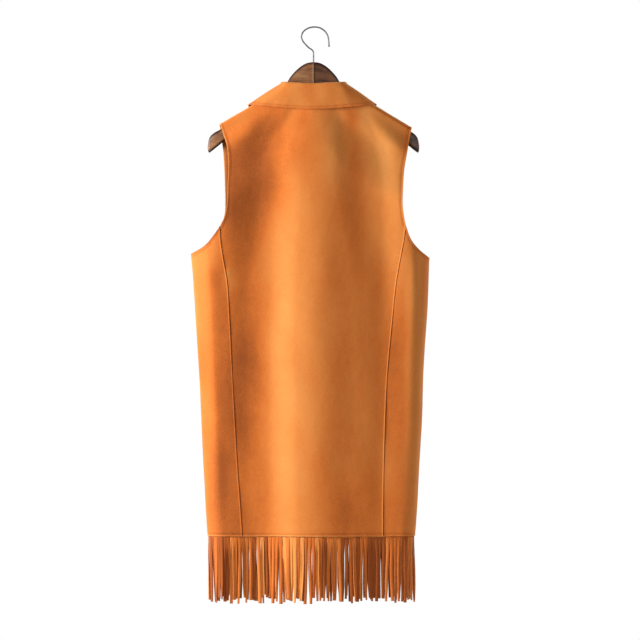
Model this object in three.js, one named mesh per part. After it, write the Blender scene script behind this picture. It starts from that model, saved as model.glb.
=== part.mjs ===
// A long sleeveless suede vest with a turned-down collar and a fringed hem, hung on a wooden hanger.
// Sizes are in millimetres. +Z is up and -Y is towards the vest's back. The origin is the inner top
// of the hanger's hook, where a peg carries it. A "drop" is a distance below the origin.
import * as THREE from "three";

const suede = 1.5; // thickness of the cloth
const seamGap = 0.36; // between two panels that are sewn together
const hangerX = -3; // the hanger's middle, which hangs a little beside the top of the hook
const hemDrop = 1018.4;

// Rows of named columns.
function table(columns, ...rows) {
  return rows.map((row) => Object.fromEntries(columns.map((name, i) => [name, row[i]])));
}

// A smooth curve through one column of a table, held level past the first and the last row.
function curve(rows, key, column) {
  const at = rows.map((row) => row[key]);
  const value = rows.map((row) => row[column]);
  const last = at.length - 1;
  const slope = value.map((_, i) => {
    const before = Math.max(i - 1, 0);
    const after = Math.min(i + 1, last);
    return (value[after] - value[before]) / (at[after] - at[before]);
  });
  return (place) => {
    if (place <= at[0]) return value[0];
    if (place >= at[last]) return value[last];
    const i = at.findIndex((start) => start > place) - 1;
    const span = at[i + 1] - at[i];
    const s = (place - at[i]) / span;
    const rise = s * s * (3 - 2 * s);
    const leaving = s * (1 - s) * (1 - s) * span * slope[i];
    const arriving = s * s * (1 - s) * span * slope[i + 1];
    return value[i] + (value[i + 1] - value[i]) * rise + leaving - arriving;
  };
}

const mix = (a, b, share) => a + (b - a) * share;

function smooth(from, to, value) {
  const s = Math.min(Math.max((value - from) / (to - from), 0), 1);
  return s * s * (3 - 2 * s);
}

// Where a rising or falling function crosses zero between two places.
function crossing(f, low, high) {
  const sign = Math.sign(f(low));
  for (let step = 0; step < 40; step++) {
    const middle = (low + high) / 2;
    if (Math.sign(f(middle)) === sign) low = middle;
    else high = middle;
  }
  return (low + high) / 2;
}

// The hanger: each arm sweeps forwards and slopes down, and the middle rises in a hump.
const hanger = {
  slant: 12,
  sweep: 13.5,
  reach: 213,
  thickness: 12.4,
  middleThickness: 10.6,
  neckThickness: 8.8,
  tipTaper: 2,
  humpDrop: 68.6,
  middleZone: [-20, 34], // along an arm, where the wood thins from its middle to its neck
  armZone: [66, 104], // where it grows to its full thickness under the shoulder
  taperStart: 196,
};
const armRows = table(
  ["out", "top", "bottom"],
  [0, hanger.humpDrop, 134],
  [12.6, 70.6, 135],
  [23, 75.8, 138],
  [31.8, 82.6, 142],
  [40, 90.8, 146],
  [46.6, 98.9, 149],
  [52, 107.8, 152],
  [56, 114.4, 155],
  [62, 121.2, 158],
  [74, 130.2, 164],
  [100, 144.4, 178],
  [128, 160.9, 193],
  [150, 174.4, 205],
  [170, 190.8, 219],
  [187, 206.3, 232],
  [200, 218.5, 241.5],
  [208, 228, 247],
  [212.5, 238, 249.5],
);
const armTop = curve(armRows, "out", "top");
const armBottom = curve(armRows, "out", "bottom");

// The y of an arm's middle: it leaves the neck at a slant and curves forwards.
function armY(x) {
  const share = Math.abs(x) / hanger.reach;
  return share * (hanger.slant + hanger.sweep * share);
}

// The shoulders: both seams run straight down from the sides of the neck to the shoulder tips.
const neckHalf = 74;
const neckPointDrop = 126;
const backNeckDip = 12; // how far the back neckline dips below the neck points
const shoulders = {
  left: { sign: -1, tipX: -187.8, tipDrop: 192 },
  right: { sign: 1, tipX: 197.4, tipDrop: 198.8 },
};
const overArm = { width: 8.5, height: 9.8, clear: 3 }; // the cloth's bend over an arm

function shoulderDrop(x) {
  const tip = x < 0 ? shoulders.left : shoulders.right;
  const share = (Math.abs(x) - neckHalf) / (Math.abs(tip.tipX) - neckHalf);
  return mix(neckPointDrop, tip.tipDrop, share);
}

// The ridge that the cloth hangs from at x: the shoulder seam, or the hanger's hump inside the neck.
function ridgeDrop(x) {
  return Math.min(shoulderDrop(x), armTop(Math.abs(x)) - overArm.clear);
}

function neckDrop(x) {
  const share = Math.min(Math.abs(x) / neckHalf, 1);
  return neckPointDrop + backNeckDip * (1 - Math.pow(share, 2.5));
}

// Armhole edges of the back and of the fronts, as seen from behind.
const backSeamDrop = 397.4; // where the long back seams leave the armholes
const leftArmhole = table(
  ["drop", "back", "front"],
  [192, -187.8, -189.5],
  [213.6, -181, -186.5],
  [236.6, -174, -183],
  [259.6, -171, -181],
  [287.2, -170.6, -179.5],
  [321.6, -171.8, -178.5],
  [351.4, -172.8, -178],
  [374.4, -176.4, -179.5],
  [backSeamDrop, -186.6, -187.5],
  [418, -200.4, -201],
  [438.6, -218.8, -219],
  [454.4, -246, -246],
);
const rightArmhole = table(
  ["drop", "back", "front"],
  [198.8, 197.4, 197.4],
  [222.8, 192.8, 191],
  [255, 187, 183.5],
  [287.2, 181.8, 177.5],
  [321.6, 179.4, 174.5],
  [356, 178.6, 174],
  [379, 181.2, 177.5],
  [backSeamDrop, 185.1, 182.6],
  [424.8, 195, 194],
  [445.6, 211.2, 211],
  [462.8, 233, 233],
);

// Side seams and the two long back seams, below the armholes.
const bodyRows = table(
  ["drop", "left", "leftSeam", "rightSeam", "right"],
  [backSeamDrop, -246, -186.6, 185.1, 233],
  [425, -246, -185.2, 182.2, 233],
  [455, -246, -181, 176.5, 233],
  [510, -241.5, -171.5, 166.8, 231],
  [570, -237.2, -167.4, 160.3, 228.8],
  [690, -230.3, -161, 149, 220.8],
  [785, -225.6, -156, 144.2, 217.8],
  [885, -220.5, -150.2, 141.6, 212.2],
  [960, -216.8, -145, 140.2, 208.5],
  [hemDrop, -213, -141.6, 139.6, 204],
);
const sideOf = {
  left: curve(bodyRows, "drop", "left"),
  right: curve(bodyRows, "drop", "right"),
};
const seamOf = {
  left: curve(bodyRows, "drop", "leftSeam"),
  right: curve(bodyRows, "drop", "rightSeam"),
};
const armholeRows = { left: leftArmhole, right: rightArmhole };
const underarmDrop = { left: 454.4, right: 462.8 };

// How deep the hanging cloth stands behind and before its middle sheet, and where its sides lie.
const depthRows = table(
  ["drop", "back", "front", "sideY"],
  [110, 9, 9, 15],
  [160, 10.5, 10.5, 14.5],
  [200, 14, 13, 14],
  [300, 26, 22, 11],
  [400, 35, 30, 8],
  [455, 38, 33, 7],
  [700, 42, 37, 5],
  [hemDrop, 44, 40, 4],
);
const backDepth = curve(depthRows, "drop", "back");
const frontDepth = curve(depthRows, "drop", "front");
const sideY = curve(depthRows, "drop", "sideY");

// Soft hanging folds. Each row gives a fold's x and height at the five drops, and its half width.
// A positive height stands out from the vest, and a negative one sinks into it.
const foldDrops = [170, 250, 330, 600, 1000];
const foldColumns = ["x0", "x1", "x2", "x3", "x4", "h0", "h1", "h2", "h3", "h4", "half"];
const backFolds = table(
  foldColumns,
  [10, 10, 9, 8, 4, 1, 6, 9, 11.5, 11, 98],
  [-70, -88, -92, -104, -98, -6, -8, -9, -9, -9, 70],
  [78, 98, 112, 152, 148, -6, -7, -7, -6.5, -5.5, 70],
  [-125, -172, -184, -220, -214, 6, 9, 10, 11, 11, 84],
  [140, 185, 198, 198, 192, 6, 9, 8, 5, 4, 64],
);
const frontFolds = table(
  foldColumns,
  [-118, -119, -120, -128, -124, 1, 3.5, 6, 8, 8, 74],
  [-58, -55, -52, -52, -50, -0.5, -1.8, -3, -4, -4, 52],
  [124, 125, 126, 120, 126, 1, 3.8, 6.5, 7.5, 7, 70],
  [62, 58, 54, 48, 52, -0.5, -1.8, -3, -4.5, -4, 50],
);

function foldHeight(rows, x, drop) {
  let height = 0;
  for (const fold of rows) {
    const steps = foldDrops.map((d, i) => ({ d, x: fold["x" + i], h: fold["h" + i] }));
    const away = (x - curve(steps, "d", "x")(drop)) / fold.half;
    if (Math.abs(away) < 1) {
      height += (curve(steps, "d", "h")(drop) * (1 + Math.cos(Math.PI * away))) / 2;
    }
  }
  return height;
}

// How the cloth leaves the hanger, by drops below its ridge: it lies on the arms down to armDepth,
// its folds are full from foldDepth, and it hangs free from freeDepth.
const hang = {
  armDepth: 44,
  foldDepth: 64,
  freeDepth: 170,
  fullness: 3,
  sideCurve: 1.6,
  foldFade: 0.15, // the share of the half width over which folds die out at the sides
};

// How full the vest's cross-section is at x: 1 in the middle and 0 at the side seams.
function across(x, drop) {
  const left = sideOf.left(drop);
  const right = sideOf.right(drop);
  const u = Math.min(Math.abs((2 * x - left - right) / (right - left)), 1);
  return { u, full: Math.pow(1 - Math.pow(u, hang.fullness), 1 / hang.fullness) };
}

// The y of the cloth's outer face at x and a drop, with facing -1 for the back and 1 for the fronts.
function clothY(facing, x, drop) {
  const below = Math.max(drop - ridgeDrop(x), 0);
  const bend = Math.min(below / overArm.height, 1);
  const onArm = armY(x) + facing * overArm.width * Math.sqrt(1 - (1 - bend) * (1 - bend));
  const { u, full } = across(x, drop);
  const depth = facing < 0 ? backDepth(drop) : frontDepth(drop);
  const rows = facing < 0 ? backFolds : frontFolds;
  const fold = foldHeight(rows, x, drop) * smooth(0, hang.foldFade, 1 - u);
  const hanging = sideY(drop) * Math.pow(u, hang.sideCurve) + facing * depth * full;
  const unfolded = mix(onArm, hanging, smooth(hang.armDepth, hang.freeDepth, below));
  return unfolded + facing * fold * smooth(hang.armDepth, hang.foldDepth, below);
}

// A closed solid from points and triangles, turned the right way out.
function solid(points, triangles) {
  let volume = 0;
  for (const [a, b, c] of triangles) {
    volume += points[a].dot(points[b].clone().cross(points[c]));
  }
  const faces = volume < 0 ? triangles.map(([a, b, c]) => [a, c, b]) : triangles;
  const geometry = new THREE.BufferGeometry().setFromPoints(points);
  geometry.setIndex(faces.flat());
  geometry.computeVertexNormals();
  return geometry;
}

// A wall of cloth. surface(q, v) gives its outer face, q running across it and v down it, both
// from 0 to 1, and inward is a vector that points into the wall near its middle.
function wall(surface, qs, vs, inward, thickness = suede) {
  const step = 1e-4;
  const normal = (q, v) => {
    const a = surface(Math.max(q - step, 0), v);
    const b = surface(Math.min(q + step, 1), v);
    const c = surface(q, Math.max(v - step, 0));
    const d = surface(q, Math.min(v + step, 1));
    return b.sub(a).cross(d.sub(c)).normalize();
  };
  const sign = Math.sign(normal(0.5, 0.5).dot(inward));
  const outer = [];
  const inner = [];
  for (const v of vs) {
    for (const q of qs) {
      const point = surface(q, v);
      outer.push(point);
      inner.push(point.clone().addScaledVector(normal(q, v), sign * thickness));
    }
  }
  return solid([...outer, ...inner], sheetFaces(qs.length, vs.length));
}

// Triangles of a wall whose outer points, row by row, come before its inner points.
function sheetFaces(columns, rows) {
  const faces = [];
  const inner = columns * rows;
  const quad = (a, b, c, d) => faces.push([a, b, c], [a, c, d]);
  const at = (row, column) => row * columns + column;
  for (let row = 0; row < rows - 1; row++) {
    for (let column = 0; column < columns - 1; column++) {
      const a = at(row, column);
      const b = at(row, column + 1);
      const c = at(row + 1, column + 1);
      const d = at(row + 1, column);
      quad(a, b, c, d);
      quad(inner + a, inner + d, inner + c, inner + b);
    }
  }
  const rim = [];
  for (let column = 0; column < columns - 1; column++) rim.push(at(0, column));
  for (let row = 0; row < rows - 1; row++) rim.push(at(row, columns - 1));
  for (let column = columns - 1; column > 0; column--) rim.push(at(rows - 1, column));
  for (let row = rows - 1; row > 0; row--) rim.push(at(row, 0));
  rim.forEach((a, i) => {
    const b = rim[(i + 1) % rim.length];
    quad(b, a, inner + a, inner + b);
  });
  return faces;
}

// Shares down a panel: close rows where it bends over the hanger, a row at its outline's corner,
// and even rows from there to the hem.
const upperShares = [
  0, 0.004, 0.014, 0.03, 0.06, 0.1, 0.16, 0.24, 0.34, 0.45, 0.56, 0.67, 0.78, 0.89, 1,
];
const lowerRows = 12;
const cornerV = 0.5; // the v of the row at the corner
const upperVs = upperShares.map((share) => share * cornerV);
const evenShares = (count, from = 0, to = 1) =>
  Array.from({ length: count + 1 }, (_, i) => mix(from, to, i / count));
const lowerVs = evenShares(lowerRows, cornerV, 1);
const panelVs = [...upperVs, ...lowerVs.slice(1)];

function dropAt(top, corner, v) {
  return v < cornerV
    ? mix(top, corner, v / cornerV)
    : mix(corner, hemDrop, (v - cornerV) / (1 - cornerV));
}

// The back panel's columns, by the x where each one starts: close ones at the sides of the neck.
const neckXs = [17, 34, 50, 62, 69, 72, neckHalf];
const shoulderXs = (tipX) => evenShares(6, neckHalf, Math.abs(tipX)).slice(1);
const backXs = [
  ...[...neckXs, ...shoulderXs(shoulders.left.tipX)].map((x) => -x).reverse(),
  0,
  ...neckXs,
  ...shoulderXs(shoulders.right.tipX),
];
const backSpan = shoulders.right.tipX - shoulders.left.tipX;
const backColumns = backXs.map((x) => (x - shoulders.left.tipX) / backSpan);

// The back between the two long seams, from the neck and the shoulder seams to the hem.
function backPanel() {
  const armhole = {
    left: curve(leftArmhole, "drop", "back"),
    right: curve(rightArmhole, "drop", "back"),
  };
  const edge = (side, drop) =>
    drop < backSeamDrop
      ? armhole[side](drop)
      : seamOf[side](drop) - (shoulders[side].sign * seamGap) / 2;
  const surface = (q, v) => {
    const topX = mix(shoulders.left.tipX, shoulders.right.tipX, q);
    const top = Math.abs(topX) < neckHalf ? neckDrop(topX) : shoulderDrop(topX);
    const drop = dropAt(top, backSeamDrop, v);
    const x = mix(edge("left", drop), edge("right", drop), q);
    return new THREE.Vector3(x, clothY(-1, x, drop) - seamGap / 2, -drop);
  };
  return wall(surface, backColumns, panelVs, new THREE.Vector3(0, 1, 0));
}

// Columns that crowd towards a side seam, where the cloth turns from the back to the front.
const frontColumns = [0, 0.01, 0.04, 0.09, 0.16, 0.25, 0.36, 0.48, 0.61, 0.74, 0.87, 1];

const sideColumns = [0, 0.02, 0.09, 0.2, 0.36, 0.56, 0.78, 1];

// A side of the back, from its long seam to the side seam, and up to the armhole.
function backSide(side) {
  const sign = shoulders[side].sign;
  const armhole = curve(armholeRows[side], "drop", "back");
  const inner = (drop) => seamOf[side](drop) + (sign * seamGap) / 2;
  const at = (share, drop) => mix(sideOf[side](drop), inner(drop), share);
  const surface = (q, v) => {
    const toTop = (drop) => sign * (at(q, drop) - armhole(drop)) - seamGap / 2;
    const top = crossing(toTop, backSeamDrop, underarmDrop[side]);
    const drop = mix(top, hemDrop, v);
    const x = at(q, drop);
    return new THREE.Vector3(x, clothY(-1, x, drop) - seamGap / 2, -drop);
  };
  return wall(surface, sideColumns, evenShares(lowerRows), new THREE.Vector3(0, 1, 0));
}

// The inner edge of each front: down the neckline, then along the lapel's roll to the break point.
const breakDrop = 470;
const frontEdgeRows = table(
  ["drop", "out"],
  [neckPointDrop, neckHalf],
  [150, 67],
  [181, 58],
  [breakDrop, 11],
  [560, 9],
  [800, 12],
  [hemDrop, 15],
);
const frontEdgeOut = curve(frontEdgeRows, "drop", "out");

function frontPanel(side) {
  const sign = shoulders[side].sign;
  const armhole = curve(armholeRows[side], "drop", "front");
  const outer = (drop) => (drop < underarmDrop[side] ? armhole(drop) : sideOf[side](drop));
  const at = (q, drop) => mix(outer(drop), sign * frontEdgeOut(drop), q);
  const surface = (q, v) => {
    const toSeam = (drop) => drop - shoulderDrop(at(q, drop));
    const top = crossing(toSeam, neckPointDrop - 1, shoulders[side].tipDrop + 1);
    const corner = mix(underarmDrop[side], breakDrop, q);
    const drop = dropAt(top, corner, v);
    const x = at(q, drop);
    return new THREE.Vector3(x, clothY(1, x, drop) + seamGap / 2, -drop);
  };
  return wall(surface, frontColumns, panelVs, new THREE.Vector3(0, -1, 0));
}

// The lapels: each turns back from its front's edge and lies on that front.
const lapel = { roll: 3, lift: 4.5, edgeLift: 2.7, gap: 0.4 };
const lapelRows = table(
  ["rollDrop", "edgeDrop", "edgeOut"],
  [177.9, 220.4, 137],
  [215, 248, 133],
  [255, 285, 121],
  [300, 325, 104],
  [350, 370, 81],
  [400, 412, 57],
  [440, 446, 36],
  [breakDrop - 2, breakDrop - 1, 21],
);

function lapelPiece(side) {
  const sign = shoulders[side].sign;
  const numbered = lapelRows.map((row, i) => ({ ...row, at: i / (lapelRows.length - 1) }));
  const rollDrop = curve(numbered, "at", "rollDrop");
  const edgeDrop = curve(numbered, "at", "edgeDrop");
  const edgeOut = curve(numbered, "at", "edgeOut");
  const rollShare = 0.3; // the share of q that goes round the roll
  const surface = (q, v) => {
    const start = frontEdgeOut(rollDrop(v)) - lapel.gap;
    if (q < rollShare) {
      const turn = (q / rollShare) * Math.PI;
      const out = start - lapel.roll * Math.sin(turn);
      const base = clothY(1, sign * start, rollDrop(v)) + seamGap / 2 - suede;
      return new THREE.Vector3(sign * out, base + lapel.roll * (1 - Math.cos(turn)), -rollDrop(v));
    }
    const share = (q - rollShare) / (1 - rollShare);
    const out = mix(start, edgeOut(v), share);
    const drop = mix(rollDrop(v), edgeDrop(v), share);
    const lift = mix(lapel.lift, lapel.edgeLift, smooth(0, 0.6, share));
    const base = clothY(1, sign * out, drop) + seamGap / 2;
    return new THREE.Vector3(sign * out, base + lift, -drop);
  };
  const columns = [0, 0.075, 0.15, 0.225, 0.3, 0.44, 0.58, 0.72, 0.86, 1];
  return wall(surface, columns, evenShares(11), new THREE.Vector3(0, -1, 0));
}

// The collar: a stand that rises from the neckline, a roll, and a fall that lies on the shoulders.
// Each row is a place round the neck, from the middle of the back to the collar's front end, with
// the stand's foot, the top of the roll, the way that the roll turns, and the fall's middle and edge.
const collarRoll = 3;
const collarLean = -3.2; // the fall lies this much to the left
const collarRows = table(
  ["baseX", "baseY", "baseDrop", "rollX", "rollY", "rollDrop", "turnX", "turnY",
    "midX", "midY", "midDrop", "edgeX", "edgeY", "edgeDrop"],
  [0, -6.9, 137.3, 0, -9.9, 112.8, 0, -1, 0, -13.4, 138, 0, -13.8, 163.6],
  [30, -6, 136, 31, -9.2, 111.4, 0.1, -1, 36, -12.4, 137, 42, -12.2, 162],
  [56, -3.8, 130.9, 52, -6.6, 110.2, 0.45, -0.9, 66, -9.4, 135, 80, -8.6, 158.6],
  [69, 0.2, 126.4, 59.5, -2, 109.8, 0.9, -0.45, 84, -3.6, 132.6, 106, -3.9, 156.4],
  [72, 5.8, 124.2, 62.5, 4.4, 109.9, 1, 0, 94, 6, 131.2, 127, 10.6, 154],
  [71.6, 12.2, 128, 61.5, 12.4, 113.4, 0.95, 0.3, 94, 15.4, 136.5, 128, 20.2, 158.5],
  [69, 14.3, 141, 59, 15.6, 126, 0.8, 0.6, 93, 19.4, 148, 127.5, 25.2, 167],
  [63.4, 15.5, 159, 55, 16.7, 149, 0.6, 0.8, 92, 21, 170, 124.5, 26.8, 182],
  [58.6, 16.1, 177.5, 51.5, 16.9, 170, 0.5, 0.87, 94, 21.2, 195.2, 120, 26.2, 190],
);

function collar() {
  const stations = [];
  for (const row of [...collarRows].reverse()) stations.push({ row, sign: -1 });
  for (const row of collarRows.slice(1)) stations.push({ row, sign: 1 });
  const line = (name) =>
    new THREE.CatmullRomCurve3(
      stations.map(({ row, sign }) => {
        const lean = (collarLean * (row[name + "X"] - row.baseX)) / neckHalf;
        return new THREE.Vector3(sign * row[name + "X"] + lean, row[name + "Y"], -row[name + "Drop"]);
      }),
    );
  const base = line("base");
  const roll = line("roll");
  const middle = line("mid");
  const edge = line("edge");
  const turn = new THREE.CatmullRomCurve3(
    stations.map(({ row, sign }) => new THREE.Vector3(sign * row.turnX, row.turnY, 0)),
  );
  const up = new THREE.Vector3(0, 0, collarRoll);
  // The section at a place round the neck, as a path from the stand's foot to the fall's edge.
  const section = (place) => {
    const outward = turn.getPoint(place).normalize().multiplyScalar(collarRoll);
    const centre = roll.getPoint(place).sub(up);
    const round = (angle) =>
      centre.clone().addScaledVector(outward, -Math.cos(angle)).addScaledVector(up, Math.sin(angle));
    const foot = base.getPoint(place);
    const rise = foot.clone().lerp(round(0), 0.5);
    return [foot, rise, ...[0, 0.25, 0.5, 0.75, 1].map((share) => round(share * Math.PI)),
      middle.getPoint(place), edge.getPoint(place)];
  };
  const pieces = 8; // between the nine points of a section
  const surface = (q, v) => {
    const points = section(v);
    const at = Math.min(Math.floor(q * pieces), pieces - 1);
    return points[at].clone().lerp(points[at + 1], q * pieces - at);
  };
  return wall(surface, evenShares(pieces), evenShares(36), new THREE.Vector3(0, 0, 1));
}

// The fringe: a strip sewn inside the hem, cut into narrow strands below it.
const fringe = {
  inside: suede + 0.5, // from the hem's outer face to the strip's
  margin: 2.5, // clear of the side seams and the front edges
  thickness: 1.5,
  top: hemDrop - 10,
  root: hemDrop + 1.6,
  tip: 1150,
  pitch: 8,
  strand: 6.2,
  rings: [0.2, 0.48, 0.76, 1],
  swing: 2.2,
  clumpSwing: 3,
  twist: 0.75, // in radians, at the tips
  uneven: 3.5, // how much longer or shorter a strand may be
  gather: 1.05, // how far neighbours in a clump close up at their tips
  stray: 0.9, // how far a whole clump leans
  bend: 1.3, // above 1, a strand leans more towards its tip
};
const clumps = [5, 7, 4, 6, 8, 5, 6, 4, 7, 5]; // strands that lean together, over and over

// A repeatable scatter between -1 and 1 for each whole number.
const scatter = (i, salt) => Math.sin(i * i * 1.7 + i * 12.99 + salt * 78.23);

// The hem's outer line through the x of the panels' own columns, as places by arc length.
function hemLine(facing, xs) {
  const points = xs.map(
    (x) => new THREE.Vector3(x, clothY(facing, x, hemDrop) + (facing * seamGap) / 2, 0),
  );
  const lengths = [0];
  points.slice(1).forEach((p, i) => lengths.push(lengths[i] + p.distanceTo(points[i])));
  const total = lengths[lengths.length - 1];
  const tangents = points.map((_, i) => {
    const before = points[Math.max(i - 1, 0)];
    const after = points[Math.min(i + 1, points.length - 1)];
    return after.clone().sub(before).normalize();
  });
  const place = (length) => {
    const found = lengths.findIndex((l) => l > length) - 1;
    const at = found < 0 ? points.length - 2 : found;
    const share = (length - lengths[at]) / (lengths[at + 1] - lengths[at]);
    const point = points[at].clone().lerp(points[at + 1], share);
    const along = tangents[at].clone().lerp(tangents[at + 1], share).normalize();
    const inward = new THREE.Vector3(-along.y, along.x, 0);
    if (inward.y * facing > 0) inward.negate();
    return { point, along, inward };
  };
  return { total, place };
}

// Which clump a strand is in, and how far along the hem its tip leans to close up with the others.
function clumpLean(i, count, salt) {
  let first = 0;
  let clump = salt;
  while (first + clumps[clump % clumps.length] <= i) {
    first += clumps[clump % clumps.length];
    clump++;
  }
  const size = Math.min(clumps[clump % clumps.length], count - first);
  const fromMiddle = i - first - (size - 1) / 2;
  return { lean: scatter(clump, 3) * fringe.stray - fromMiddle * fringe.gather, clump };
}

function fringePiece(facing, xs, salt) {
  const hem = hemLine(facing, xs);
  const length = hem.total - 2 * fringe.margin;
  const count = Math.floor(length / fringe.pitch);
  const pitch = length / count;
  const points = [];
  const faces = [];
  const quad = (a, b, c, d) => faces.push([a, b, c], [a, c, d]);
  // Four points of the strip at a length along the hem: outer and inner, at its top and its foot.
  const post = (length) => {
    const { point, inward } = hem.place(length);
    const first = points.length;
    for (const drop of [fringe.top, fringe.root]) {
      for (const depth of [fringe.inside, fringe.inside + fringe.thickness]) {
        points.push(point.clone().addScaledVector(inward, depth).setZ(-drop));
      }
    }
    return first;
  };
  const bay = (a, b) => {
    quad(a, b, b + 2, a + 2);
    quad(a + 1, a + 3, b + 3, b + 1);
    quad(a, a + 1, b + 1, b);
  };
  let previous = null;
  for (let i = 0; i < count; i++) {
    const middle = fringe.margin + (i + 0.5) * pitch;
    const left = post(middle - fringe.strand / 2);
    const right = post(middle + fringe.strand / 2);
    if (previous === null) quad(left, left + 2, left + 3, left + 1);
    else {
      bay(previous, left);
      quad(previous + 2, left + 2, left + 3, previous + 3);
    }
    bay(left, right);
    strand(i, middle, [left + 2, right + 2, right + 3, left + 3]);
    previous = right;
  }
  quad(previous, previous + 1, previous + 3, previous + 2);

  // A strand hangs from four corners at its root, leans with its clump, and turns a little.
  function strand(i, middle, rootRing) {
    const { lean, clump } = clumpLean(i, count, salt);
    const { point, along, inward } = hem.place(middle);
    const seed = i + salt * 50;
    const swing = fringe.swing * scatter(seed, 1) + fringe.clumpSwing * scatter(clump, 5);
    const twist = fringe.twist * scatter(seed, 2);
    const end = fringe.tip + fringe.uneven * scatter(seed, 4);
    let ring = rootRing;
    for (const share of fringe.rings) {
      const centre = point
        .clone()
        .addScaledVector(inward, fringe.inside + fringe.thickness / 2 + swing * share)
        .addScaledVector(along, lean * Math.pow(share, fringe.bend))
        .setZ(-mix(fringe.root, end, share));
      const angle = twist * share;
      const wide = along.clone().multiplyScalar(Math.cos(angle)).addScaledVector(inward, Math.sin(angle));
      const thick = inward.clone().multiplyScalar(Math.cos(angle)).addScaledVector(along, -Math.sin(angle));
      const next = [];
      for (const [w, t] of [[-1, -1], [1, -1], [1, 1], [-1, 1]]) {
        next.push(points.length);
        points.push(
          centre
            .clone()
            .addScaledVector(wide, (w * fringe.strand) / 2)
            .addScaledVector(thick, (t * fringe.thickness) / 2),
        );
      }
      for (let k = 0; k < 4; k++) {
        const m = (k + 1) % 4;
        quad(ring[k], ring[m], next[m], next[k]);
      }
      ring = next;
    }
    quad(ring[0], ring[1], ring[2], ring[3]);
  }
  return solid(points, faces);
}

// One arm of the hanger, as sections from the middle out to the tip: flat faces, round edges.
const armStations = [
  0.15, 8, 16, 24, 32, 40, 48, 56, 66, 80, 110, 140, 160, 178, 192, 203, 210, 212.5,
];
const armSection = { sides: 12, flatness: 0.6, squareness: 0.7, face: 1.05 };
function hangerArm(sign) {
  const { sides, flatness, squareness, face } = armSection;
  const corners = Array.from({ length: sides }, (_, k) => {
    const angle = (2 * Math.PI * (k + 0.5)) / sides;
    const out = Math.min(1, Math.pow(Math.abs(Math.cos(angle)), flatness) * face);
    const up = Math.pow(Math.abs(Math.sin(angle)), squareness);
    return { out: Math.sign(Math.cos(angle)) * out, up: Math.sign(Math.sin(angle)) * up };
  });
  const highest = Math.max(...corners.map((corner) => corner.up));
  const points = [];
  const faces = [];
  for (const station of armStations) {
    const neck = mix(hanger.middleThickness, hanger.neckThickness, smooth(...hanger.middleZone, station));
    const thickness = mix(neck, hanger.thickness, smooth(...hanger.armZone, station));
    const half = thickness / 2 - hanger.tipTaper * smooth(hanger.taperStart, hanger.reach, station);
    const middle = (armTop(station) + armBottom(station)) / 2;
    const tall = (armBottom(station) - armTop(station)) / 2;
    for (const corner of corners) {
      const drop = middle - (tall * corner.up) / highest;
      points.push(new THREE.Vector3(sign * station, armY(station) + half * corner.out, -drop));
    }
  }
  for (let i = 0; i < armStations.length - 1; i++) {
    for (let k = 0; k < sides; k++) {
      const a = i * sides + k;
      const b = i * sides + ((k + 1) % sides);
      faces.push([a, b, b + sides], [a, b + sides, a + sides]);
    }
  }
  const last = (armStations.length - 1) * sides;
  for (let k = 1; k < sides - 1; k++) {
    faces.push([0, k + 1, k], [last, last + k, last + k + 1]);
  }
  return solid(points, faces);
}

// The steel hook, from its free end over the top, round and down into the wood.
const hook = { radius: 1.5, sides: 8, steps: 64 };
const hookRows = table(
  ["x", "drop"],
  [28, 36.6],
  [27.5, 26],
  [26.3, 18.6],
  [23.6, 12],
  [18.4, 5.6],
  [10, 0.4],
  [0, -hook.radius],
  [-10.5, -0.2],
  [-19.5, 4.2],
  [-24.8, 10],
  [-27.2, 17.4],
  [-26, 23.6],
  [-22.2, 29.8],
  [-13, 39.6],
  [-6.6, 44],
  [-3.4, 48.8],
  [hangerX, 56],
  [hangerX, hanger.humpDrop - 0.3],
);
function hangerHook() {
  const path = hookRows.map(({ x, drop }) => new THREE.Vector3(x, 0, -drop));
  const line = new THREE.CatmullRomCurve3(path);
  const round = Array.from({ length: hook.sides }, (_, k) => {
    const angle = (2 * Math.PI * k) / hook.sides;
    return new THREE.Vector2(hook.radius * Math.cos(angle), hook.radius * Math.sin(angle));
  });
  return new THREE.ExtrudeGeometry(new THREE.Shape(round), {
    steps: hook.steps,
    extrudePath: line,
    bevelEnabled: false,
  });
}

const finishes = {
  suede: new THREE.MeshStandardMaterial({ color: 0xd4823c, roughness: 0.95 }),
  wood: new THREE.MeshStandardMaterial({ color: 0x5b3d2c, roughness: 0.45 }),
  steel: new THREE.MeshStandardMaterial({ color: 0xb9b9bd, roughness: 0.25, metalness: 1 }),
};

const part = new THREE.Group();
const hanging = new THREE.Group();
hanging.position.x = hangerX;
part.add(hanging);

function add(parent, name, geometry, finish) {
  const mesh = new THREE.Mesh(geometry, finishes[finish]);
  mesh.name = name;
  parent.add(mesh);
}

add(part, "hanger_hook", hangerHook(), "steel");
add(hanging, "hanger_arm_left", hangerArm(-1), "wood");
add(hanging, "hanger_arm_right", hangerArm(1), "wood");
add(hanging, "back_panel", backPanel(), "suede");
for (const side of ["left", "right"]) {
  add(hanging, "back_side_" + side, backSide(side), "suede");
  add(hanging, "front_" + side, frontPanel(side), "suede");
  add(hanging, "lapel_" + side, lapelPiece(side), "suede");
}
add(hanging, "collar", collar(), "suede");

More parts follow.
